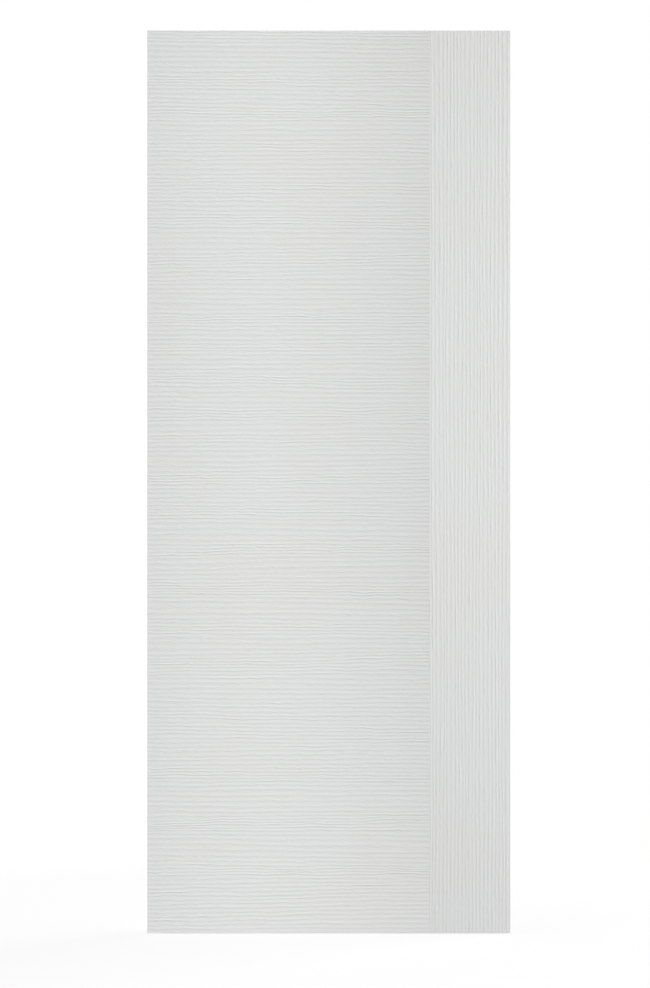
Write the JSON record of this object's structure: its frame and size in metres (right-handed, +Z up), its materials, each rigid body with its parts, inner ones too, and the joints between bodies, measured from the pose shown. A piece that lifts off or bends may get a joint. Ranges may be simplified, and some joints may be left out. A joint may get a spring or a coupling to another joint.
{
  "type": "interior door leaf",
  "caption": "Hollow interior door leaf: pressed face skins with level ridges beside a strip of upright ridges, on a timber frame with a lock block and paper honeycomb.",
  "frame": {"origin": "foot of the hinge edge, midway between the two faces", "axes": "+Z up the leaf, +X from the hinge edge to the lock edge, -Y out of the front face"},
  "size_m": [0.82, 0.035, 2.04],
  "materials": {
    "primed_skin": "pressed fibreboard with a factory coat of pale grey-white primer, satin",
    "bare_pine": "planed and unpainted",
    "core_paper": "brown kraft paper"
  },
  "bodies": {
    "root": {"front_skin": "primed_skin", "back_skin": "primed_skin", "hinge_stile": "bare_pine", "lock_stile": "bare_pine", "top_rail": "bare_pine", "bottom_rail": "bare_pine", "lock_block": "bare_pine", "lower_core": "core_paper", "middle_core": "core_paper", "upper_core": "core_paper"}
  },
  "joints": []
}
